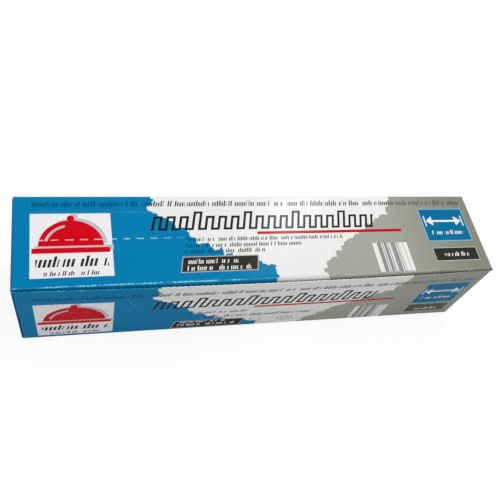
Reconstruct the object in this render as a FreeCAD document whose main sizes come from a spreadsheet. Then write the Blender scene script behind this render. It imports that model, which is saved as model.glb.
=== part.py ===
import FreeCAD, Part
import os
import Sketcher

os.makedirs("parts", exist_ok=True)
doc = FreeCAD.newDocument("FoilCarton")

# Driving dimensions in millimetres: name, value, what it is
DRIVING = [
    ("carton_length", 460, "outside length over the glued end flaps"),
    ("carton_depth", 93, "outside depth at the foot, front panel to back panel"),
    ("carton_height", 96, "outside height, table to lid"),
    ("board", 0.8, "thickness of the folded board"),
    ("fold_radius", 1.2, "outside radius of a long fold"),
    ("front_bow", 3.2, "how far the front panel bows out at the middle of its cut edge"),
    ("lid_radius", 2.0, "radius of the lid's front edge, where it rolls down behind the front panel"),
    ("lip_drop", 2.4, "how far the cut edge of the front panel lies below the lid"),
    ("uncut_corner", 25, "stretch at the right-hand end where lid and front panel stay joined"),
    ("gap_depth", 2, "depth of the open gap behind the front panel's cut edge"),
    ("gap_end", 0.4, "width of that gap at its bottom and where it runs out"),
    ("tooth_pitch", 5, "spacing of the teeth along the cut edge"),
    ("tooth_gap", 4.2, "width of one notch between two teeth, at the tips"),
    ("tooth_height", 1.2, "height of a tooth"),
    ("dash_pitch", 12, "spacing of the slits in a tear line"),
    ("dash_length", 7.2, "length of one slit"),
    ("dash_width", 0.5, "width of one slit"),
    ("dash_margin", 19, "end of the carton to the first slit and the first crease dot"),
    ("score_depth", 0.4, "depth of a slit or a crease dot in the lid"),
    ("lid_tear", 45.5, "back edge of the lid to its tear line"),
    ("front_tear", 46, "lid down to the tear line of the front panel"),
    ("hinge_line", 16.5, "back edge of the lid to its dotted crease"),
    ("dot_pitch", 6, "spacing of the crease dots"),
    ("dot_length", 2, "length of one crease dot"),
    ("dot_width", 0.4, "width of one crease dot"),
    ("flap_side_gap", 1.2, "outer end flap short of the front and back folds"),
    ("flap_top_gap", 2, "outer end flap short of the lid"),
    ("seam_width", 0.4, "width of the open line along the glued long seam"),
]
sheet = doc.addObject("Spreadsheet::Sheet", "Sizes")
for row, (name, value, meaning) in enumerate(DRIVING, start=1):
    sheet.set(f"A{row}", name)
    sheet.set(f"B{row}", str(value))
    sheet.setAlias(f"B{row}", name)
    sheet.set(f"C{row}", meaning)
doc.recompute()

# Planes of the carton, worked out from the sheet. The origin is at the middle of the
# foot of the whole outline, so the bow of the front panel is shared between front and back.
TUBE_END = "(Sizes.carton_length / 2 - Sizes.board)"
BACK = "((Sizes.carton_depth + Sizes.front_bow) / 2)"
FRONT = "((Sizes.front_bow - Sizes.carton_depth) / 2)"
OUTERMOST = f"({FRONT} - Sizes.front_bow)"
LID_FRONT = f"({FRONT} + Sizes.board)"
TOP = "Sizes.carton_height"
CUT_EDGE = "(Sizes.carton_height - Sizes.lip_drop)"
# A cut starts this far outside the board
BEYOND = "Sizes.board"

body = doc.addObject("PartDesign::Body", "Carton")
body.Label = "foil_carton"


def read(expression):
    """The value in millimetres of an expression on the sheet."""
    return float(body.evalExpression(expression))


def sketch_on(name, role, offset="0"):
    """A sketch on an origin plane of the body, moved along the plane's normal."""
    sketch = body.newObject("Sketcher::SketchObject", name)
    plane = next(item for item in body.Origin.OriginFeatures if item.Role == role)
    sketch.AttachmentSupport = [(plane, "")]
    sketch.MapMode = "FlatFace"
    sketch.setExpression("AttachmentOffset.Base.z", offset)
    return sketch


def outline(sketch, corners, bow=None):
    """Closed edges through corners given as expressions; a bow makes the first edge an arc."""
    spots = [FreeCAD.Vector(read(across), read(up), 0) for across, up in corners]
    edges = [Part.LineSegment(here, there) for here, there in zip(spots, spots[1:] + spots[:1])]
    if bow:
        middle = (spots[0] + spots[1]) / 2 + FreeCAD.Vector(0, -read(bow), 0)
        edges[0] = Part.Arc(spots[0], middle, spots[1])
    sketch.addGeometry(edges)
    for index, corner in enumerate(corners):
        for kind, expression in zip(("DistanceX", "DistanceY"), corner):
            place = Sketcher.Constraint(kind, -1, 1, index, 1, read(expression))
            number = sketch.addConstraint(place)
            sketch.setExpression(f"Constraints[{number}]", expression)
        following = (index + 1) % len(corners)
        sketch.addConstraint(Sketcher.Constraint("Coincident", index, 2, following, 1))
    if bow:
        half = f"(({corners[1][0]} - {corners[0][0]}) / 2)"
        radius = f"({half} ^ 2 + {bow} ^ 2) / (2 * {bow})"
        number = sketch.addConstraint(Sketcher.Constraint("Radius", 0, read(radius)))
        sketch.setExpression(f"Constraints[{number}]", radius)
    return sketch


def rectangle(sketch, left, right, low, high):
    """A rectangle between four planes."""
    return outline(sketch, [(left, low), (right, low), (right, high), (left, high)])


def ruled_loft(name, lower, upper):
    """Straight walls between two outlines with as many edges."""
    loft = body.newObject("PartDesign::AdditiveLoft", name)
    loft.Profile = lower
    loft.Sections = [upper]
    loft.Ruled = True
    doc.recompute()
    return loft


def cut(name, sketch, depth, reverse=False, midplane=False):
    """A pocket that has to take material away."""
    before = body.Tip.Shape.Volume
    pocket = body.newObject("PartDesign::Pocket", name)
    pocket.Profile = sketch
    pocket.Reversed = reverse
    pocket.Midplane = midplane
    pocket.setExpression("Length", depth)
    doc.recompute()
    if not pocket.Shape.Volume < before:
        raise RuntimeError(name + " cuts nothing")
    return pocket


def add(name, sketch, thickness):
    """A pad of a given thickness."""
    pad = body.newObject("PartDesign::Pad", name)
    pad.Profile = sketch
    pad.setExpression("Length", thickness)
    doc.recompute()
    return pad


def row_along(name, feature, sketch, count, pitch):
    """Copies of a cut along the length of the carton."""
    before = body.Tip.Shape.Volume
    pattern = body.newObject("PartDesign::LinearPattern", name)
    pattern.Originals = [feature]
    pattern.Direction = (sketch, ["H_Axis"])
    pattern.setExpression("Occurrences", count)
    pattern.setExpression("Length", f"({count} - 1) * {pitch}")
    body.Tip = pattern
    doc.recompute()
    if not pattern.Shape.Volume < before:
        raise RuntimeError(name + " cuts nothing")
    return pattern


def round_edges(name, radius, chosen):
    """A fillet on the straight or bowed edges whose box satisfies a test."""
    base = body.Tip
    names = [
        f"Edge{number}"
        for number, edge in enumerate(base.Shape.Edges, start=1)
        if chosen(edge.BoundBox)
    ]
    fillet = body.newObject("PartDesign::Fillet", name)
    fillet.Base = (base, names)
    fillet.setExpression("Radius", radius)
    doc.recompute()
    return fillet


def near(value, expression):
    """Whether a length lies on a plane given by an expression."""
    return abs(value - read(expression)) < 1e-4


# The board tube: four panels folded round the roll. A plain band stands on the foot, and above
# it the front panel leans and bows outwards towards its upper edge, cut free of the lid.
FOOT_BAND = "(2 * Sizes.fold_radius)"
foot = rectangle(sketch_on("foot_outline", "XY_Plane"), f"-{TUBE_END}", TUBE_END, FRONT, BACK)
add("foot_band", foot, FOOT_BAND)
band = rectangle(
    sketch_on("band_outline", "XY_Plane", FOOT_BAND), f"-{TUBE_END}", TUBE_END, FRONT, BACK
)
brim = outline(
    sketch_on("brim_outline", "XY_Plane", TOP),
    [(f"-{TUBE_END}", FRONT), (TUBE_END, FRONT), (TUBE_END, BACK), (f"-{TUBE_END}", BACK)],
    bow="Sizes.front_bow",
)
ruled_loft("panels", band, brim)

# The cut along the top front edge: the front panel ends below the lid, which stands back
# by one board, and a short corner at the right-hand end stays joined.
CUT_STOP = f"({TUBE_END} - Sizes.uncut_corner)"
step = rectangle(
    sketch_on("lid_step_outline", "XY_Plane", TOP),
    f"-{TUBE_END} - {BEYOND}", f"{TUBE_END} + {BEYOND}", f"{OUTERMOST} - {BEYOND}", LID_FRONT,
)
cut("lid_step", step, "Sizes.lip_drop")
corner = rectangle(
    sketch_on("corner_outline", "XY_Plane", CUT_EDGE), CUT_STOP, TUBE_END, FRONT, LID_FRONT
)
add("joined_corner", corner, "Sizes.lip_drop")

# The folds: the lid's rolled front edge, no rounder than its drop allows, and the long folds
ROLL = "min(Sizes.lid_radius; Sizes.lip_drop * 0.9)"
round_edges(
    "lid_edge", ROLL,
    lambda box: near(box.ZMin, TOP) and near(box.YMin, LID_FRONT) and near(box.YMax, LID_FRONT),
)
round_edges(
    "long_folds", "Sizes.fold_radius",
    lambda box: (near(box.XLength, f"2 * {TUBE_END}") or near(box.XMin, CUT_STOP))
    and (near(box.YMin, BACK) or near(box.YMax, FRONT))
    and (near(box.ZMax, "0") or near(box.ZMin, TOP)),
)

# The long seam: the raw edge of the back panel ends just above the foot
seam = rectangle(
    sketch_on("seam_outline", "YZ_Plane"),
    f"{BACK} - Sizes.board", f"{BACK} + {BEYOND}",
    "Sizes.fold_radius + Sizes.board", "Sizes.fold_radius + Sizes.board + Sizes.seam_width",
)
cut("seam", seam, f"2 * {TUBE_END}", midplane=True)

# The outer end flaps, folded up from the foot and glued over the ends
flap_outline = rectangle(
    sketch_on("flap_outline", "YZ_Plane", TUBE_END),
    f"{FRONT} + Sizes.flap_side_gap", f"{BACK} - Sizes.flap_side_gap",
    "0", f"{TOP} - Sizes.flap_top_gap",
)
flap = add("right_flap", flap_outline, "Sizes.board")
both_flaps = body.newObject("PartDesign::Mirrored", "both_flaps")
both_flaps.Originals = [flap]
middle_plane = next(item for item in body.Origin.OriginFeatures if item.Role == "YZ_Plane")
both_flaps.MirrorPlane = (middle_plane, [""])
body.Tip = both_flaps
doc.recompute()
round_edges(
    "flap_folds", "Sizes.board * 0.9",
    lambda box: near(box.ZMax, "0") and near(abs(box.XMin), "Sizes.carton_length / 2")
    and near(abs(box.XMax), "Sizes.carton_length / 2"),
)

# The gap behind the front panel's cut edge: widest where the panel bows out most
GAP_HALF = f"({CUT_STOP} - Sizes.tooth_pitch)"
GAP_BOW = f"(Sizes.front_bow * {CUT_EDGE} / {TOP} - Sizes.gap_end)"
gap = outline(
    sketch_on("gap_outline", "XY_Plane", CUT_EDGE),
    [
        (f"-{GAP_HALF}", f"{LID_FRONT} - Sizes.gap_end"), (GAP_HALF, f"{LID_FRONT} - Sizes.gap_end"),
        (GAP_HALF, LID_FRONT), (f"-{GAP_HALF}", LID_FRONT),
    ],
    bow=GAP_BOW,
)
cut("edge_gap", gap, "Sizes.gap_depth")

# The teeth of the cut edge, made by one notch repeated along it
FIRST_NOTCH = f"(Sizes.tooth_pitch / 2 - {TUBE_END})"
notch = outline(
    sketch_on("notch_outline", "XZ_Plane", f"-{LID_FRONT}"),
    [
        (FIRST_NOTCH, f"{CUT_EDGE} - Sizes.tooth_height"),
        (f"{FIRST_NOTCH} + Sizes.tooth_gap / 2", CUT_EDGE),
        (f"{FIRST_NOTCH} + Sizes.tooth_gap / 2", f"{CUT_EDGE} + {BEYOND}"),
        (f"{FIRST_NOTCH} - Sizes.tooth_gap / 2", f"{CUT_EDGE} + {BEYOND}"),
        (f"{FIRST_NOTCH} - Sizes.tooth_gap / 2", CUT_EDGE),
    ],
)
first = cut("notch", notch, f"Sizes.front_bow + Sizes.board + {BEYOND}", reverse=True)
TEETH = f"floor(({TUBE_END} + {CUT_STOP}) / Sizes.tooth_pitch)"
row_along("teeth", first, notch, TEETH, "Sizes.tooth_pitch")

# The lid's lip: it comes out of the rolled edge and runs down and outwards, following the
# bow, to the bottom of the gap, so only a narrow dark line is left behind the front panel
LIP_INSET = f"({ROLL} * 0.4)"
LIP_BACK = f"({LID_FRONT} + 2 * {ROLL})"
lip_foot = outline(
    sketch_on("lip_foot_outline", "XY_Plane", f"{CUT_EDGE} - Sizes.gap_depth"),
    [
        (f"-{GAP_HALF}", LID_FRONT), (GAP_HALF, LID_FRONT),
        (GAP_HALF, LIP_BACK), (f"-{GAP_HALF}", LIP_BACK),
    ],
    bow=GAP_BOW,
)
lip_start = rectangle(
    sketch_on("lip_start_outline", "XY_Plane", f"{TOP} - {LIP_INSET}"),
    f"-{GAP_HALF}", GAP_HALF, f"{LID_FRONT} + {LIP_INSET}", LIP_BACK,
)
ruled_loft("lid_lip", lip_foot, lip_start)

# The tear lines: a row of slits along the lid and another along the front panel
FIRST_CUT = "(Sizes.dash_margin - Sizes.carton_length / 2)"
DASHES = (
    "floor((Sizes.carton_length - 2 * Sizes.dash_margin - Sizes.dash_length)"
    " / Sizes.dash_pitch + 1)"
)
lid_slit = rectangle(
    sketch_on("lid_slit_outline", "XY_Plane", TOP),
    FIRST_CUT, f"{FIRST_CUT} + Sizes.dash_length",
    f"{BACK} - Sizes.lid_tear - Sizes.dash_width / 2",
    f"{BACK} - Sizes.lid_tear + Sizes.dash_width / 2",
)
first = cut("lid_slit", lid_slit, "Sizes.score_depth")
row_along("lid_tear_line", first, lid_slit, DASHES, "Sizes.dash_pitch")
front_slit = rectangle(
    sketch_on("front_slit_outline", "XZ_Plane", f"-{FRONT} - Sizes.score_depth"),
    FIRST_CUT, f"{FIRST_CUT} + Sizes.dash_length",
    f"{TOP} - Sizes.front_tear - Sizes.dash_width / 2",
    f"{TOP} - Sizes.front_tear + Sizes.dash_width / 2",
)
first = cut("front_slit", front_slit, "Sizes.front_bow + 2 * Sizes.score_depth", reverse=True)
row_along("front_tear_line", first, front_slit, DASHES, "Sizes.dash_pitch")

# The dotted crease near the back of the lid
DOTS = (
    "floor((Sizes.carton_length - 2 * Sizes.dash_margin - Sizes.dot_length)"
    " / Sizes.dot_pitch + 1)"
)
dot = rectangle(
    sketch_on("dot_outline", "XY_Plane", TOP),
    FIRST_CUT, f"{FIRST_CUT} + Sizes.dot_length",
    f"{BACK} - Sizes.hinge_line - Sizes.dot_width / 2",
    f"{BACK} - Sizes.hinge_line + Sizes.dot_width / 2",
)
first = cut("crease_dot", dot, "Sizes.score_depth")
row_along("dotted_crease", first, dot, DOTS, "Sizes.dot_pitch")

# Checks before anything is written
for item in doc.Objects:
    if "Invalid" in item.State or "Error" in item.State:
        raise RuntimeError(item.Name + " failed: " + str(item.State))
shape = body.Shape
if shape.isNull() or not shape.isValid() or len(shape.Solids) != 1:
    raise RuntimeError("the carton is not one sound solid")
shape.exportStep(os.path.join("parts", body.Label + ".step"))
print(body.Label, "volume", round(shape.Volume), "box", shape.BoundBox)
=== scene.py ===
import math
import random

import bmesh
import bpy
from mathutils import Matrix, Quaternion, Vector, noise


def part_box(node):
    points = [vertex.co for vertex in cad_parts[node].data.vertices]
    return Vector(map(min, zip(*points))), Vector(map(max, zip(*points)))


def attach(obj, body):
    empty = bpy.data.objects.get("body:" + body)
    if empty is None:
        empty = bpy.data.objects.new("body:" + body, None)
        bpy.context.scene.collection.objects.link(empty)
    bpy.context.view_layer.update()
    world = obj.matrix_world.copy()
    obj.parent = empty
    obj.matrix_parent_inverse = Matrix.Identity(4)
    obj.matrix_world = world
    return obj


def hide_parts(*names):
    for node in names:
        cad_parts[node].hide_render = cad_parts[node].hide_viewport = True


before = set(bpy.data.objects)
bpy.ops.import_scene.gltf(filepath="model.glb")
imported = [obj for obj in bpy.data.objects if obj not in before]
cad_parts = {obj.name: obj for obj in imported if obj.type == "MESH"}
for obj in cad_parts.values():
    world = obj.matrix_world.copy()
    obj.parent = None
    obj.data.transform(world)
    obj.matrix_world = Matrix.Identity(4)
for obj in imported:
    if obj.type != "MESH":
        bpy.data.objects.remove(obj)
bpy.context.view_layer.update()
scene = bpy.context.scene
scene.view_settings.view_transform = "Standard"

# Camera. It stands in front of the carton's left half, looks down on the lid and is turned
# about its own axis, as the photograph was taken.
LENS_MM = 41.34
SENSOR_MM = 36
SHIFT_UP = 0.0455
EYE = Vector((-0.17705, -0.27686, 0.52951))
AIM = Vector((-0.02929, -0.03736, 0.0960))
TILT = math.radians(25.07)
camera = bpy.data.objects.new("camera", bpy.data.cameras.new("camera"))
scene.collection.objects.link(camera)
camera.data.sensor_width = SENSOR_MM
camera.data.lens = LENS_MM
camera.data.shift_y = SHIFT_UP
camera.location = EYE
level = (AIM - EYE).to_track_quat("-Z", "Y")
camera.rotation_euler = (level @ Quaternion((0, 0, 1), TILT)).to_euler()
scene.camera = camera

# Carton: one blank of white-lined solid board, printed and varnished outside, bare grey
# inside. It is creased, folded into a tube and glued along a seam low on the back. A toothed
# cut along the top front edge frees the lid from the front panel, all but one corner.
LOW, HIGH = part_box("foil_carton")
BOARD = 0.0008
DEPTH = 0.093
FOLD = 0.0012
ROLL = 0.0020
LIP_DROP = 0.0024
BOW = 0.0028
SEAM_FOOT = 0.0024
GLUE_FLAP = 0.016
SLACK = 0.0001
GAP_DEPTH = 0.0020
GAP_WIDTH = 0.0006
JOINED_CORNER = 0.025
CLOSING = 0.030
CUT_RISE = 0.0010
BACK, TOP = HIGH.y, HIGH.z
FRONT = BACK - DEPTH
TUBE_END = HIGH.x - BOARD
CUT_EDGE = TOP - LIP_DROP
CUT_STOP = TUBE_END - JOINED_CORNER
LID_LINE = FRONT + BOARD + ROLL
COLUMNS = 366
column_width = 2 * TUBE_END / COLUMNS
TOOTH_COLUMNS = 4
TOOTH_SHAPE = (0, 0.5, 1, 0.5)
TOOTH_HEIGHT = 0.0012
CUT_WEAR_AND_HIGHLIGHT = 0.76
SHORTEST_TOOTH, LONGEST_TOOTH = 0.75, 1.1
TOOTH_JITTER = 0.00012
SUPPORT = 0.0014
NEAR = 1e-6
BACK_PANEL, LID_PANEL, FRONT_PANEL, FOOT_PANEL = range(4)
random.seed(7)

blank = bmesh.new()
# Vertex layers: the distance along the blank; the wear on folds and edges, which also sets a painted
# highlight along them; and painted shade, darkening the gap behind the front panel and the joined
# corner's crease.
along = blank.verts.layers.float.new("along")
crease = blank.verts.layers.float.new("crease")
painted_shade = blank.verts.layers.float.new("painted_shade")
panel = blank.faces.layers.int.new("panel")


def straight(start, end, steps):
    """Stops along a flat panel, with one close to each fold."""
    start, end = Vector(start), Vector(end)
    inset = SUPPORT / (end - start).length
    shares = [inset] + [step / steps for step in range(1, steps)] + [1 - inset, 1]
    return [(*start.lerp(end, share), 0) for share in shares]


def fold(centre, first_angle, wear_and_highlight=0, steps=4):
    """Stops round a quarter turn, outside radius FOLD. The third value of each stop, from the
    last argument, is the fold's wear and the strength of the painted highlight along it.
    """
    angles = [math.radians(first_angle + 90 * step / steps) for step in range(steps + 1)]
    return [
        (centre[0] + FOLD * math.cos(angle), centre[1] + FOLD * math.sin(angle), wear_and_highlight)
        for angle in angles
    ]


def new_strip(row):
    """One more strip of board from a row of edges: its new vertices and new outer edges."""
    made = bmesh.ops.extrude_edge_only(blank, edges=row)["geom"]
    verts = [item for item in made if isinstance(item, bmesh.types.BMVert)]
    fresh = set(verts)
    edges = [
        item for item in made
        if isinstance(item, bmesh.types.BMEdge) and fresh.issuperset(item.verts)
    ]
    return verts, edges


def sweep(row, stops):
    """Carries a row of edges through the stops of the folded outline."""
    for y, z, wear_and_highlight in stops:
        verts, row = new_strip(row)
        for vert in verts:
            vert[along] += (Vector((y, z)) - vert.co.yz).length
            vert.co.yz = y, z
            vert[crease] = wear_and_highlight


ends = [blank.verts.new((side * TUBE_END, BACK, SEAM_FOOT)) for side in (-1, 1)]
raw_edge = blank.edges.new(ends)
bmesh.ops.subdivide_edges(blank, edges=[raw_edge], cuts=COLUMNS - 1)
sweep(
    list(blank.edges),
    straight((BACK, SEAM_FOOT), (BACK, TOP - FOLD), steps=5)
    + fold((BACK - FOLD, TOP - FOLD), 0)[1:]
    + straight((BACK - FOLD, TOP), (LID_LINE, TOP), steps=15)
    + [(FRONT + FOLD, TOP, 0)]
    # The lid's front fold: wear specks and a painted highlight along it.
    + fold((FRONT + FOLD, TOP - FOLD), 90, wear_and_highlight=0.8)[1:]
    + [(FRONT, CUT_EDGE, 0)]
    + straight((FRONT, CUT_EDGE), (FRONT, FOLD), steps=16)
    + fold((FRONT + FOLD, FOLD), 180)[1:]
    + straight((FRONT + FOLD, 0), (BACK - FOLD, 0), steps=7)
    + fold((BACK - FOLD, FOLD), 270)[1:]
    + [(BACK - BOARD - SLACK, SEAM_FOOT, 0), (BACK - BOARD - SLACK, GLUE_FLAP, 0)],
)
ROUND_FOLD = math.pi * FOLD / 2
LID_START = TOP - FOLD - SEAM_FOOT
FRONT_START = LID_START + DEPTH - 2 * FOLD + ROUND_FOLD
FOOT_START = FRONT_START + TOP - 2 * FOLD + ROUND_FOLD
GLUE_START = FOOT_START + DEPTH - 2 * FOLD + ROUND_FOLD
for face in blank.faces:
    middle = sum(vert[along] for vert in face.verts) / len(face.verts)
    starts = (LID_START, FRONT_START, FOOT_START, GLUE_START)
    face[panel] = sum(middle > start + ROUND_FOLD / 2 for start in starts) % 4

# The cut: the strip between lid and front panel is gone as far as the joined corner, and the
# front panel stands out in a bow
opened = [
    face for face in blank.faces
    if face.calc_center_median().x < CUT_STOP
    and face.calc_center_median().y < LID_LINE
    and face.calc_center_median().z > CUT_EDGE
]
bmesh.ops.delete(blank, geom=opened, context="FACES")


def bow(x, z):
    """How far the front panel stands out of its plane."""
    return BOW * (1 - (x / TUBE_END) ** 2) * max(0, z - SEAM_FOOT) / (TOP - SEAM_FOOT)


def closing(x):
    """From 0 to 1 over the last of the cut, where lid and front panel come together again."""
    return max(0, 1 - (CUT_STOP - x) / CLOSING) ** 2


for vert in blank.verts:
    x, y, z = vert.co
    vert.co.y -= bow(x, z) * max(0, min(1, 1 - (y - FRONT) / FOLD))
    at_cut = y < FRONT + NEAR and abs(z - CUT_EDGE) < NEAR and x < CUT_STOP - NEAR
    if at_cut:
        phase = round((x + TUBE_END) / column_width) % TOOTH_COLUMNS
        vert.co.z -= TOOTH_HEIGHT * TOOTH_SHAPE[phase] * random.uniform(SHORTEST_TOOTH, LONGEST_TOOTH)
        vert.co.z += CUT_RISE * closing(x)
        vert.co.x += random.uniform(-TOOTH_JITTER, TOOTH_JITTER)
        # Wear specks and a faint painted highlight along the cut edge.
        vert[crease] = CUT_WEAR_AND_HIGHLIGHT
    # At the joined corner the fold shows no wear, and a dark line of painted shade is drawn along its
    # crease.
    if x > CUT_STOP + NEAR and z > CUT_EDGE + NEAR and y < FRONT + FOLD + NEAR:
        vert[crease] = 0
        vert[painted_shade] = 1 if y < FRONT + FOLD - NEAR and z > TOP - FOLD + NEAR else 0


# The lid's lip: rolled over at the fold, then down and outwards behind the front panel. Near
# the joined corner it rolls further out, and so meets the fold there.
LIP_FOOT = CUT_EDGE - GAP_DEPTH
LIP_STEPS = 9
LEVEL_RUN, LEVEL_RUN_AT_CORNER = 0.0017, 0.0024
FOOT_RUN, FOOT_RUN_AT_CORNER = 0.0007, -0.0009
FOOT_RISE, FOOT_RISE_AT_CORNER = 0.0017, 0.0032
CREST, CREST_WIDTH = 0.22, 0.25
LIP_HEM = 0.003


def lid_edge(vert):
    """Whether a vertex is on the line where the lid's lip starts."""
    on_line = abs(vert.co.y - LID_LINE) < NEAR and abs(vert.co.z - TOP) < NEAR
    return on_line and vert.co.x < CUT_STOP + column_width / 2


def between(start, end, share):
    """A value that goes from start to end as the share goes from 0 to 1."""
    return start + (end - start) * share


lip_row = [edge for edge in blank.edges if edge.is_boundary and all(map(lid_edge, edge.verts))]
for step in range(1, LIP_STEPS + 1):
    verts, edges = new_strip(lip_row)
    share = step / LIP_STEPS
    for vert in verts:
        foot_y = FRONT + BOARD + GAP_WIDTH - bow(vert.co.x, LIP_FOOT)
        near = closing(vert.co.x)
        stops = [
            Vector((LID_LINE, TOP)),
            Vector((LID_LINE - between(LEVEL_RUN, LEVEL_RUN_AT_CORNER, near), TOP)),
            Vector((
                foot_y + between(FOOT_RUN, FOOT_RUN_AT_CORNER, near),
                LIP_FOOT + between(FOOT_RISE, FOOT_RISE_AT_CORNER, near),
            )),
            Vector((foot_y, LIP_FOOT)),
        ]
        weights = [
            (1 - share) ** 3, 3 * share * (1 - share) ** 2,
            3 * share ** 2 * (1 - share), share ** 3,
        ]
        place = sum((stop * weight for stop, weight in zip(stops, weights)), Vector((0, 0)))
        vert[along] += (place - vert.co.yz).length
        vert.co.yz = place
        # Wear specks and a painted highlight along a band near the top of the lip, where it rolls
        # over.
        vert[crease] = max(0, min(1, 1.6 * (1 - abs(share - CREST) / CREST_WIDTH)))
        # Painted shade, growing from the top of the lip down to its foot in the gap behind the front
        # panel.
        vert[painted_shade] = share
    for edge in edges:
        for face in edge.link_faces:
            face[panel] = LID_PANEL
    lip_row = edges
# The hem, straight down behind the front panel, in full painted shade and without wear.
verts, edges = new_strip(lip_row)
for vert in verts:
    vert.co.z -= LIP_HEM
    vert[crease] = 0
    vert[painted_shade] = 1
for edge in edges:
    for face in edge.link_faces:
        face[panel] = LID_PANEL

# The end flaps: the front's and the back's fold in first, then the lid's, then the foot's
FLAP_TOP_GAP = 0.002
DUST_FLAP = 0.042
LID_FLAP = 0.050
LAYER = BOARD + 0.00002
FLAP_NEAR, FLAP_TIP = 0.03, 0.97
CREASE_ZONE = 0.008
BOW_NEAR_END = 0.0003


def end_flap(side, on_panel, depth_in, centre, axis, turn, run):
    """Folds the flap of one panel over one end. depth_in is how far in its outer face lies."""
    edges = [
        edge for edge in blank.edges
        if edge.is_boundary and all(
            abs(vert.co.x - side * TUBE_END) < NEAR and on_panel(vert.co) for vert in edge.verts
        )
    ]
    corner = side * (HIGH.x - depth_in - FOLD)
    pull = TUBE_END - abs(corner)
    for vert in blank.verts:
        reach = 1 - (TUBE_END - side * vert.co.x) / CREASE_ZONE
        if 0 < reach < 1 + NEAR and on_panel(vert.co):
            vert.co.x -= side * pull * reach
    verts = {vert for edge in edges for vert in edge.verts}
    turned = bmesh.ops.spin(
        blank, geom=edges + list(verts), cent=(corner, *centre), axis=axis,
        angle=side * turn, steps=4, use_duplicate=False,
    )["geom_last"]
    for vert in turned:
        if isinstance(vert, bmesh.types.BMVert):
            vert[crease] = 0
    tip = [item for item in turned if isinstance(item, bmesh.types.BMEdge)]
    for share in (FLAP_NEAR, FLAP_TIP):
        verts, tip = new_strip(tip)
        for vert in verts:
            vert.co += Vector(run) * share


for side in (-1, 1):
    end_flap(
        side, lambda co: abs(co.y - FRONT) < BOW_NEAR_END and FOLD - NEAR < co.z < CUT_EDGE + NEAR,
        depth_in=2 * LAYER, centre=(FRONT + FOLD, 0), axis=(0, 0, 1), turn=math.pi / 2,
        run=(0, DUST_FLAP, 0),
    )
    end_flap(
        side, lambda co: abs(co.y - BACK) < NEAR and SEAM_FOOT - NEAR < co.z < TOP - FOLD + NEAR,
        depth_in=2 * LAYER, centre=(BACK - FOLD, 0), axis=(0, 0, 1), turn=-math.pi / 2,
        run=(0, -DUST_FLAP, 0),
    )
    end_flap(
        side, lambda co: abs(co.z - TOP) < NEAR and LID_LINE - NEAR < co.y < BACK - FOLD + NEAR,
        depth_in=LAYER, centre=(0, TOP - FOLD), axis=(0, 1, 0), turn=math.pi / 2,
        run=(0, 0, -LID_FLAP),
    )
    end_flap(
        side, lambda co: abs(co.z) < NEAR and FRONT + FOLD - NEAR < co.y < BACK - FOLD + NEAR,
        depth_in=0, centre=(0, FOLD), axis=(0, 1, 0), turn=-math.pi / 2,
        run=(0, 0, TOP - FLAP_TOP_GAP - FOLD),
    )

# The blank's own flat coordinates carry the print: across from the left-hand end, and down the
# lid from its back fold and the front panel from just below its upper fold. The print of the
# back and foot mirrors that of the panel beside it.
FRONT_SHIFT = 0.0085
flat = blank.loops.layers.uv.new("blank")
printed = blank.faces.layers.float.new("printed")
on_front = blank.faces.layers.float.new("on_front")
for face in blank.faces:
    face[printed] = float(face[panel] in (LID_PANEL, FRONT_PANEL))
    face[on_front] = float(face[panel] == FRONT_PANEL)
    for loop in face.loops:
        down = {
            BACK_PANEL: LID_START - loop.vert[along],
            LID_PANEL: loop.vert[along] - LID_START,
            FRONT_PANEL: loop.vert[along] - FRONT_START - FRONT_SHIFT,
            FOOT_PANEL: FOOT_START - loop.vert[along] + TOP - FRONT_SHIFT,
        }[face[panel]]
        loop[flat].uv = (loop.vert.co.x - LOW.x, down)

# Shape of the used board: each panel is slightly warped, and the tube is a little out of
# square, with its front edge further out at the top left and at the foot on the right
WARP = 0.00025
WARP_SCALE = 14
WARP_RIM = 0.012
LEAN = 0.0005
SKEW = 0.0020
SHARP = 0.7
for vert in blank.verts:
    x, y, z = vert.co
    wave = 0.5 + 0.5 * noise.noise(Vector((x, y, z)) * WARP_SCALE)
    inner_y = min(1, max(0, min(y - LID_LINE, BACK - FOLD - y) / WARP_RIM))
    inner_z = min(1, max(0, min(z - FOLD, CUT_EDGE - z) / WARP_RIM))
    if abs(z - TOP) < NEAR:
        vert.co.z -= WARP * wave * inner_y
    if abs(y - BACK) < NEAR:
        vert.co.y -= 2 * WARP * wave * inner_z
    if y < FRONT + NEAR and abs(x) < TUBE_END - CREASE_ZONE:
        vert.co.y += WARP * wave * inner_z
    height, right = z / TOP, 0.5 + 0.5 * x / TUBE_END
    out = LEAN * height * (1 - right) + SKEW * (1 - height) * right
    vert.co.y -= out * min(1, max(0, (BACK - y) / DEPTH))

# The sheet gets its thickness inwards: a second skin, joined to the first round every edge
bmesh.ops.recalc_face_normals(blank, faces=blank.faces)
if sum(face.normal.z for face in blank.faces if face[panel] == LID_PANEL) < 0:
    bmesh.ops.reverse_faces(blank, faces=blank.faces)
blank.normal_update()
for face in blank.faces:
    face.material_index = 0
skin = list(blank.faces)
made = bmesh.ops.extrude_face_region(blank, geom=skin, use_keep_orig=True)["geom"]
for item in made:
    if isinstance(item, bmesh.types.BMVert):
        item.co -= item.normal * BOARD
outer = set(skin)
for face in blank.faces:
    at_teeth = face[panel] == FRONT_PANEL and all(
        abs(vert[crease] - CUT_WEAR_AND_HIGHLIGHT) < NEAR for vert in face.verts
    )
    at_end = all(abs(vert.co.x) > TUBE_END - LAYER - FOLD for vert in face.verts)
    face.material_index = 0 if face in outer or at_teeth or at_end else 1
    face.smooth = True
bmesh.ops.recalc_face_normals(blank, faces=blank.faces)
for edge in blank.edges:
    on_skin = [face in outer for face in edge.link_faces]
    edge.smooth = len(set(on_skin)) == 1 and edge.calc_face_angle(0) < SHARP
carton_mesh = bpy.data.meshes.new("carton_board")
blank.to_mesh(carton_mesh)
blank.free()
carton = bpy.data.objects.new("carton_board", carton_mesh)
scene.collection.objects.link(carton)


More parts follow.
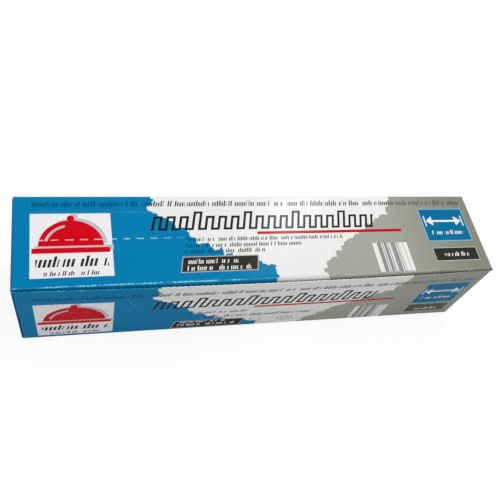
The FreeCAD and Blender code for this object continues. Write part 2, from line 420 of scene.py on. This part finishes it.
class Field:
    """A shader socket in an expression: < and > give masks, & is both, | is the larger."""

    def __init__(self, tree, socket):
        self.tree = tree
        self.socket = socket

    def node(self, kind, settings, inputs, output=0):
        made = self.tree.nodes.new(kind)
        for name, setting in settings.items():
            setattr(made, name, setting)
        for name, entry in inputs.items():
            if isinstance(entry, Field):
                self.tree.links.new(entry.socket, made.inputs[name])
            else:
                made.inputs[name].default_value = entry
        return Field(self.tree, made.outputs[output])

    def maths(self, operation, *operands):
        return self.node("ShaderNodeMath", {"operation": operation}, dict(enumerate(operands)))

    def __add__(self, other):
        return self.maths("ADD", self, other)

    def __sub__(self, other):
        return self.maths("SUBTRACT", self, other)

    def __rsub__(self, other):
        return self.maths("SUBTRACT", other, self)

    def __mul__(self, other):
        return self.maths("MULTIPLY", self, other)

    def __truediv__(self, other):
        return self.maths("DIVIDE", self, other)

    def __pow__(self, other):
        return self.maths("POWER", self, other)

    def __lt__(self, other):
        return self.maths("LESS_THAN", self, other)

    def __gt__(self, other):
        return self.maths("GREATER_THAN", self, other)

    def __abs__(self):
        return self.maths("ABSOLUTE", self)

    def __and__(self, other):
        return self.maths("MULTIPLY", self, other)

    def __or__(self, other):
        return self.maths("MAXIMUM", self, other)

    __radd__ = __add__
    __rmul__ = __mul__

    def floor(self):
        return self.maths("FLOOR", self)

    def fraction(self):
        return self.maths("FRACT", self)

    def smooth(self, start, end, low=0.0, high=1.0):
        """An S-shaped rise from low to high between start and end."""
        return self.node(
            "ShaderNodeMapRange", {"interpolation_type": "SMOOTHSTEP"},
            {0: self, 1: start, 2: end, 3: low, 4: high},
        )

    def tint(self, mask, colour, blend="MIX"):
        """This colour, with another over it where the mask is 1."""
        return self.node(
            "ShaderNodeMix", {"data_type": "RGBA", "blend_type": blend},
            {0: mask, 6: self, 7: colour}, output=2,
        )


def finish(name):
    """A new material: its tree as a field, and its Principled shader."""
    material = bpy.data.materials.new(name)
    material.use_nodes = True
    tree = material.node_tree
    return material, Field(tree, None), tree.nodes["Principled BSDF"]


def srgb(red, green, blue):
    """A linear colour from the eight-bit one that a picture shows."""
    parts = [part / 255 for part in (red, green, blue)]
    return (*[
        part / 12.92 if part <= 0.04045 else ((part + 0.055) / 1.055) ** 2.4 for part in parts
    ], 1)


# The print: three fields of colour with torn edges, and plain marks over them: rows of short
# strokes, a square zigzag, framed panels, a cloche, a measuring arrow and stripes. Lid and
# front panel carry the marks, the other panels the fields of colour alone.
printed_board, ink, shader = finish("printed_board")
place = ink.node("ShaderNodeUVMap", {"uv_map": "blank"}, {})
split = ink.node("ShaderNodeVectorMath", {"operation": "SCALE"}, {0: place, 3: 1000.0})
u = ink.node("ShaderNodeSeparateXYZ", {}, {0: split}, output=0)
v = ink.node("ShaderNodeSeparateXYZ", {}, {0: split}, output=1)
marks = ink.node(
    "ShaderNodeAttribute", {"attribute_name": "printed", "attribute_type": "GEOMETRY"}, {}, output=2
)
front_side = ink.node(
    "ShaderNodeAttribute", {"attribute_name": "on_front", "attribute_type": "GEOMETRY"}, {}, output=2
)
solid = ink.node("ShaderNodeTexCoord", {}, {}, output=3)


def within(value, middle, half):
    """A mask that is 1 within half of the middle."""
    return abs(value - middle) < half


def hash_of(across, down):
    """A repeatable number from 0 to 1 for each pair of whole numbers."""
    cell = ink.node("ShaderNodeCombineXYZ", {}, {0: across, 1: down})
    return ink.node("ShaderNodeTexWhiteNoise", {"noise_dimensions": "2D"}, {0: cell})


def cloud(scale, detail=3.0, vector=solid):
    """Soft noise from 0 to 1 on the carton's own coordinates."""
    return ink.node(
        "ShaderNodeTexNoise", {}, {"Vector": vector, "Scale": scale, "Detail": detail}
    )


BLUE = srgb(0, 127, 180)
DEEP_BLUE = srgb(0, 110, 155)
WHITE = srgb(236, 238, 236)
PANEL_WHITE = srgb(243, 241, 243)
GREY = srgb(166, 168, 160)
WARM_GREY = srgb(136, 137, 124)
RED = srgb(214, 4, 26)
LINE_RED = srgb(196, 0, 32)
BLACK = srgb(48, 46, 42)
DULL_BLACK = srgb(92, 94, 76)
INK = srgb(34, 30, 32)
ON_WHITE = (0.07, 0.07, 0.07, 1)
ON_COLOUR = (0.32, 0.36, 0.4, 1)
# A grey multiplied in: over the small outlines as print, and over the lid's lip as painted shade.
GREY_FOR_SHADE_AND_OUTLINES = (0.42, 0.42, 0.42, 1)
SHADOW_GREY = srgb(192, 196, 200)
PALE_BORDER = srgb(196, 190, 174)
PALE_BLUE = srgb(130, 196, 226)

# Torn edges: each small cell of the blank takes the colour that its centre falls in
CELL = 6.0
ragged = ink.node(
    "ShaderNodeTexVoronoi", {"voronoi_dimensions": "2D", "distance": "CHEBYCHEV"},
    {"Vector": split, "Scale": 1 / CELL, "Randomness": 1.0}, output=2,
)
cell_u = ink.node("ShaderNodeSeparateXYZ", {}, {0: ragged}, output=0)
cell_v = ink.node("ShaderNodeSeparateXYZ", {}, {0: ragged}, output=1)
blue_edge = cell_v.smooth(14, 44, 118, 151) + cell_v.smooth(44, 86, 0, 75)
grey_edge = cell_v.smooth(0, 92, 369, 275)
is_blue = cell_u < blue_edge
is_grey = cell_u > grey_edge
colour = ink.node("ShaderNodeMix", {"data_type": "RGBA"}, {0: is_blue, 6: WHITE, 7: BLUE}, output=2)
right_grey = ink.node(
    "ShaderNodeMix", {"data_type": "RGBA"},
    {0: u.smooth(330, 450) * (1 - front_side * 0.5), 6: GREY, 7: WARM_GREY}, output=2,
)
colour = colour.tint(is_grey, right_grey)

# Rows of short strokes: left, right, top and bottom in millimetres
SLANT = 0.25
STROKE_PITCH = 0.36
KEPT_STROKES, SHORT_STROKES = 0.84, 0.72
SHORT_TOP = 0.28
GROUP = 9
TOP_ROW = [(15.5, 450, 6.2, 12.4)]
LID_ROWS = [(148, 302, 46.6, 51.2), (146, 257.5, 53, 57.6), (144, 220, 59.3, 63.9)]
FRONT_ROWS = [(150, 212, 49, 54), (169, 281, 59, 64.3)]
LABEL_ROWS = [
    (146, 192, 69.6, 74.6), (144.5, 203, 76.4, 81.4), (404, 442, 44.6, 49.6), (409.5, 438, 71, 76),
]
CLOCHE_ROWS = [(19, 78, 62.8, 73.2), (25.5, 71, 77, 81.6)]


def stroke_rows(rows):
    """A mask of rows of slanted strokes, some short and some left out, in uneven groups."""
    row_number, height, phase = 0, 0, 0
    for number, (left, right, top, bottom) in enumerate(rows, start=1):
        here = within(u, (left + right) / 2, (right - left) / 2) & within(
            v, (top + bottom) / 2, (bottom - top) / 2
        )
        pitch = STROKE_PITCH * (bottom - top)
        row_number = here * number + row_number
        height = here * ((v - top) / (bottom - top)) + height
        phase = here * ((u + v * SLANT) / pitch) + phase
    cell = phase.floor()
    kept = hash_of(cell, row_number) > 1 - KEPT_STROKES
    start = (hash_of(cell, row_number + 9) > SHORT_STROKES) * -SHORT_TOP + SHORT_TOP
    group = (phase / GROUP + row_number * 0.37).fraction() > 0.1
    return kept & group & (height > start) & (phase.fraction() > 0.4) & (row_number > 0.5)


strokes = stroke_rows(TOP_ROW) | (stroke_rows(LID_ROWS) & (1 - front_side))
strokes = strokes | (stroke_rows(FRONT_ROWS) & front_side)

# Two small outlines on the front panel: an oval in another, and a square
OVAL_U, SQUARE_U, OUTLINES_V = 256.5, 224, 75
oval_u, oval_v = u - OVAL_U, v - OUTLINES_V
oval = (oval_u * oval_u / 81 + oval_v * oval_v / 28) ** 0.5
square = abs(u - SQUARE_U) | (abs(v - OUTLINES_V) * 1.4)
outlines = within(oval, 0.92, 0.08) | within(oval, 0.45, 0.09) | within(square, 5.2, 0.5)
outlines = outlines & front_side

# A square zigzag, as of folded foil, with a red line under its right half
ZIG_LEFT, ZIG_TOP, ZIG_FOOT = 114.6, 23.4, 39.0
ZIG_PITCH = 6.1
ZIG_STROKE = 2.4
TALL_TOP = 18.4
TALL_EVERY = 8
zig_place = (u + (v - ZIG_FOOT) * SLANT - ZIG_LEFT) / ZIG_PITCH
turn_place = zig_place - 0.5
at_top = (turn_place / 2).fraction() < 0.5
is_tall = (turn_place / TALL_EVERY + 0.25).fraction() < 1 / TALL_EVERY
leg_tall = abs((zig_place / TALL_EVERY + 0.25).fraction() - 1 / TALL_EVERY) < 1 / TALL_EVERY
top_v = is_tall * (TALL_TOP - ZIG_TOP) + ZIG_TOP + ZIG_STROKE / 2
turn_v = at_top * (top_v - ZIG_FOOT + ZIG_STROKE / 2) + ZIG_FOOT - ZIG_STROKE / 2
turns = within(v, turn_v, ZIG_STROKE / 2)
leg_top = leg_tall * (TALL_TOP - ZIG_TOP) + ZIG_TOP
legs = within(zig_place.fraction(), 0.5, 0.5 * ZIG_STROKE / ZIG_PITCH) & (v > leg_top) & (v < ZIG_FOOT)
zigzag = (legs | turns) & within(zig_place, 18.5, 18.3)
underline = within(v, 43.3, 1.6) & within(u, 292.5, 76.8)

overprint = ink.node(
    "ShaderNodeMix", {"data_type": "RGBA"}, {0: is_blue | is_grey, 6: ON_WHITE, 7: ON_COLOUR}, output=2
)
colour = colour.tint(strokes & marks, overprint, "MULTIPLY")
colour = colour.tint(outlines & marks, GREY_FOR_SHADE_AND_OUTLINES, "MULTIPLY")
colour = colour.tint(zigzag & marks, INK)
colour = colour.tint(underline & marks, LINE_RED)


def label(colour, across, down, half_across, half_down, border, filling, rim=0.8):
    """A filled panel with a thin border; across and down are distances from its middle."""
    edge = (abs(across) - half_across) | (abs(down) - half_down)
    colour = colour.tint((edge < 0) & marks, border)
    return colour.tint((edge < -rim) & marks, filling)


# A white panel with a red cloche, its shadow and two rows of strokes
colour = label(colour, u - 48.3, v - 51.4, 33.7, 31.9, PANEL_WHITE, PANEL_WHITE)
cloche_u, cloche_v = u - 48, v - 53.6
radius = (cloche_u * cloche_u + cloche_v * cloche_v) ** 0.5
shine = within(radius, 21.5, 1.1) & (cloche_v < -6) & (cloche_u < -5)


def cloche(across, down):
    """A dome with its knob, over a tray."""
    dome = ((across * across + down * down) ** 0.5 < 27) & (down < -0.8)
    tray = within(across, 0, 32) & within(down, 3.6, 2.6)
    knob = (across * across + (down + 29) * (down + 29)) ** 0.5 < 3.2
    return dome | tray | knob


colour = colour.tint(cloche(cloche_u - 3.0, cloche_v + 2.4) & marks, SHADOW_GREY)
colour = colour.tint(cloche(cloche_u, cloche_v) & (1 - shine) & marks, RED)
colour = colour.tint(stroke_rows(CLOCHE_ROWS) & marks, BLACK)

# Panels with a border, two of them slightly taller on the front panel, and stripes
STRIPES_U, STRIPES_V = 351, 74.4
STRIPES_PER_MM = 0.95
long_v = v - 75.1
colour = label(
    colour, u - 175.6 + long_v * 0.206, long_v - front_side * 2.5, 35.4, 8.1, PALE_BORDER, BLACK
)
colour = label(colour, u - 423.1, v - 37.6, 26.4, front_side * 2.0 + 20.2, PALE_BLUE, DEEP_BLUE)
small_black = ink.node(
    "ShaderNodeMix", {"data_type": "RGBA"}, {0: front_side, 6: BLACK, 7: DULL_BLACK}, output=2
)
colour = label(
    colour, u - 423.4, v - 73.5 + front_side * 2.6, 25.9, front_side * 1.4 + 8.0,
    PALE_BORDER, small_black,
)
colour = label(colour, u - STRIPES_U, v - STRIPES_V, 19.2, 16.4, WHITE, WHITE)
stripes = hash_of((u * STRIPES_PER_MM).floor(), 8.0).smooth(0.4, 0.7, 0, 0.7)
stripes = stripes & within(u, STRIPES_U, 15.4) & within(v, STRIPES_V, 16.4)
colour = colour.tint(stripes & marks, BLACK)

# A measuring arrow between two stops
arrow_u, arrow_v = abs(u - 423), abs(v - 33)
shaft = within(arrow_u, 0, 18) & within(arrow_v, 0, 1.2)
head = (arrow_u < 21.3) & (arrow_v < (21.3 - arrow_u) * 0.75) & (arrow_u > 13.5)
stop = within(arrow_u, 22.3, 0.7) & within(arrow_v, 0, 6.5)
colour = colour.tint((shaft | head | stop) & marks, WHITE)
colour = colour.tint(stroke_rows(LABEL_ROWS) & marks, WHITE)

# Raw board where the print is gone: the slits of the tear lines, the dotted crease, specks along
# the folds and a scuff on the front panel. A faint light band along the folds, the lip's crest
# and the cut edge is painted highlight, in the same colours as the specks.
RAW = srgb(226, 232, 234)
PALE_SKY = srgb(140, 232, 255)
DOT_GREY = srgb(165, 190, 205)
SLIT_START, SLIT_PITCH, SLIT_LENGTH = 19.0, 12.0, 7.2
LID_SLIT, FRONT_SLIT = 46.7, 37.5
fray = cloud(900.0, 2.0)
slit_here = ((u - SLIT_START) / SLIT_PITCH).fraction() * SLIT_PITCH
slit_v = v - LID_SLIT + front_side * (LID_SLIT - FRONT_SLIT)
slits = (abs(slit_here - SLIT_LENGTH / 2) < SLIT_LENGTH / 2 - 0.4 + (fray - 0.5) * 2) & (
    abs(slit_v) < (fray - 0.26) * 1.8
)
torn = u.smooth(105, 160, 1, 0.06) * (1 - front_side * 0.8) * (u > SLIT_START)
slits = slits * torn * 0.75
DOT_PITCH, DOT_LINE = 3, 18.3
dots = within(((u - SLIT_START) / DOT_PITCH).fraction(), 0.3, 0.22) & within(v, DOT_LINE, 0.3)
dots = (dots & within(u, 230, 211) & (1 - front_side)) * 0.3
wear_and_highlight = ink.node(
    "ShaderNodeAttribute", {"attribute_name": "crease", "attribute_type": "GEOMETRY"}, {}, output=2
)
along_fold = ink.node(
    "ShaderNodeVectorMath", {"operation": "MULTIPLY"}, {0: split, 1: (0.7, 1.0, 1.0)}
)
# Patches along the folds, stronger towards the left end: they set the wear specks and the painted
# highlight.
rub_and_highlight = cloud(42.0, 2.0).smooth(0.42, 0.58)
rub_and_highlight = rub_and_highlight * u.smooth(150, 240, 1, 0.3)
specks = (cloud(0.75, 3.0, along_fold) * (rub_and_highlight * 0.3 + 0.78) * wear_and_highlight).smooth(0.47, 0.51)
# Painted highlight: a faint light band along the folds, the lip's crest and the cut edge, stronger
# towards the left end.
edge_highlight = (rub_and_highlight * 0.2 + 0.1) * wear_and_highlight.smooth(0.4, 1.0)
SCUFF_LEFT, SCUFF_TOP = 92, 14
SCUFF_WIDTH, SCUFF_HEIGHT = 11, 20
scuff_share = (v - SCUFF_TOP) / SCUFF_HEIGHT
scuff = within(u - scuff_share * SCUFF_WIDTH, SCUFF_LEFT, 0.5) & within(scuff_share, 0.5, 0.5)
scuff = scuff * front_side * fray * 0.35
broken_and_highlight = (slits & marks) | specks | edge_highlight | scuff
bare_and_highlight = ink.node("ShaderNodeMix", {"data_type": "RGBA"}, {0: is_blue, 6: RAW, 7: PALE_SKY}, output=2)
bare_and_highlight = bare_and_highlight.tint(slits, RAW)
colour = colour.tint(dots & marks, DOT_GREY)
colour = colour.tint(broken_and_highlight, bare_and_highlight)
# Painted shade: the lid's lip darkens down towards its foot in the gap behind the front panel, and a
# dark line is painted along the joined corner's crease. It is lighter towards the left end.
shade_depth = ink.node(
    "ShaderNodeAttribute", {"attribute_name": "painted_shade", "attribute_type": "GEOMETRY"}, {}, output=2
)
shade = shade_depth.smooth(0.35, 1.0) * u.smooth(0, 170, 0.25, 1)
colour = colour.tint(shade, GREY_FOR_SHADE_AND_OUTLINES, "MULTIPLY")
shader.inputs["Specular IOR Level"].default_value = 0.035
ink.tree.links.new(colour.socket, shader.inputs["Base Color"])
roughness = cloud(60.0) * 0.06 + 0.15 + broken_and_highlight * 0.4
ink.tree.links.new(roughness.socket, shader.inputs["Roughness"])
relief = cloud(2200.0, 2.0) * 0.25 + cloud(45.0, 2.0) * 2.0 - broken_and_highlight * 2.0
bump = ink.node("ShaderNodeBump", {}, {"Strength": 0.25, "Distance": 0.0002, "Height": relief})
ink.tree.links.new(bump.socket, shader.inputs["Normal"])

# Bare board, on the cut edges and inside: mottled grey fibres
FIBRE_DARK = srgb(134, 130, 122)
FIBRE_PALE = srgb(196, 192, 184)
bare_board, fibre, bare_shader = finish("bare_board")
fibre_place = fibre.node("ShaderNodeTexCoord", {}, {}, output=3)
mottle = fibre.node(
    "ShaderNodeTexNoise", {}, {"Vector": fibre_place, "Scale": 700.0, "Detail": 4.0}
)
bare_colour = fibre.node(
    "ShaderNodeMix", {"data_type": "RGBA"}, {0: mottle, 6: FIBRE_DARK, 7: FIBRE_PALE}, output=2
)
fibre.tree.links.new(bare_colour.socket, bare_shader.inputs["Base Color"])
bare_shader.inputs["Roughness"].default_value = 0.85
carton_mesh.materials.append(printed_board)
carton_mesh.materials.append(bare_board)
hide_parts("foil_carton")
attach(carton, "root")

# Stage. A white table that shows as paper white, with a faint soft shadow under the carton,
# and a white room with a large soft lamp overhead and a weak one in front. Two small lamps
# behind give the sheen on the middle of the lid.
FLOOR_SIZE = 3.0
FLOOR_DROP = 0.0002
GLOW_SHARE = 0.8
GLOW = 1.1
ROOM_LIGHT = 0.55
table = bmesh.new()
bmesh.ops.create_grid(table, x_segments=1, y_segments=1, size=FLOOR_SIZE)
for vert in table.verts:
    vert.co.z = -FLOOR_DROP
floor_mesh = bpy.data.meshes.new("floor")
table.to_mesh(floor_mesh)
table.free()
floor = bpy.data.objects.new("floor", floor_mesh)
scene.collection.objects.link(floor)


def seen_rays(tree):
    """A mask of the rays that show the background: camera, glossy and transmission rays."""
    path = Field(tree, None)
    camera_ray, glossy_ray, clear_ray = [
        path.node("ShaderNodeLightPath", {}, {}, output=ray)
        for ray in ("Is Camera Ray", "Is Glossy Ray", "Is Transmission Ray")
    ]
    return camera_ray | glossy_ray | clear_ray


table_top, field, floor_shader = finish("table_top")
floor_shader.inputs["Base Color"].default_value = (0.75, 0.75, 0.75, 1)
floor_shader.inputs["Roughness"].default_value = 0.9
floor_shader.inputs["Specular IOR Level"].default_value = 0.0
glow = field.node("ShaderNodeEmission", {}, {"Color": (1, 1, 1, 1), "Strength": GLOW})
mixed = field.node(
    "ShaderNodeMixShader", {},
    {
        0: field.node("ShaderNodeLightPath", {}, {}, output="Is Camera Ray") * GLOW_SHARE,
        1: Field(field.tree, floor_shader.outputs[0]),
        2: glow,
    },
)
field.tree.links.new(mixed.socket, field.tree.nodes["Material Output"].inputs["Surface"])
floor_mesh.materials.append(table_top)
world = bpy.data.worlds.new("studio")
scene.world = world
world.use_nodes = True
room = world.node_tree.nodes["Background"]
room.inputs["Color"].default_value = (1, 1, 1, 1)
strength = seen_rays(world.node_tree) * (1 - ROOM_LIGHT) + ROOM_LIGHT
world.node_tree.links.new(strength.socket, room.inputs["Strength"])


def softbox(name, place, aim, size, power):
    """A square area lamp aimed at a point."""
    lamp = bpy.data.lights.new(name, "AREA")
    lamp.size = size
    lamp.energy = power
    holder = bpy.data.objects.new(name, lamp)
    holder.location = place
    holder.rotation_euler = (Vector(aim) - Vector(place)).to_track_quat("-Z", "Y").to_euler()
    scene.collection.objects.link(holder)


MIDDLE = (0.0, 0.0, 0.05)
softbox("key_light", (0.10, 0.10, 1.3), MIDDLE, 0.6, 3.7)
softbox("sheen_light", (0.39, 0.60, 0.963), (0.012, 0.023, 0.096), 0.09, 2.0)
softbox("far_sheen_light", (0.49, 0.67, 0.963), (0.048, 0.039, 0.096), 0.09, 1.4)
softbox("fill_light", (0.0, -1.4, 0.6), MIDDLE, 0.8, 1.2)
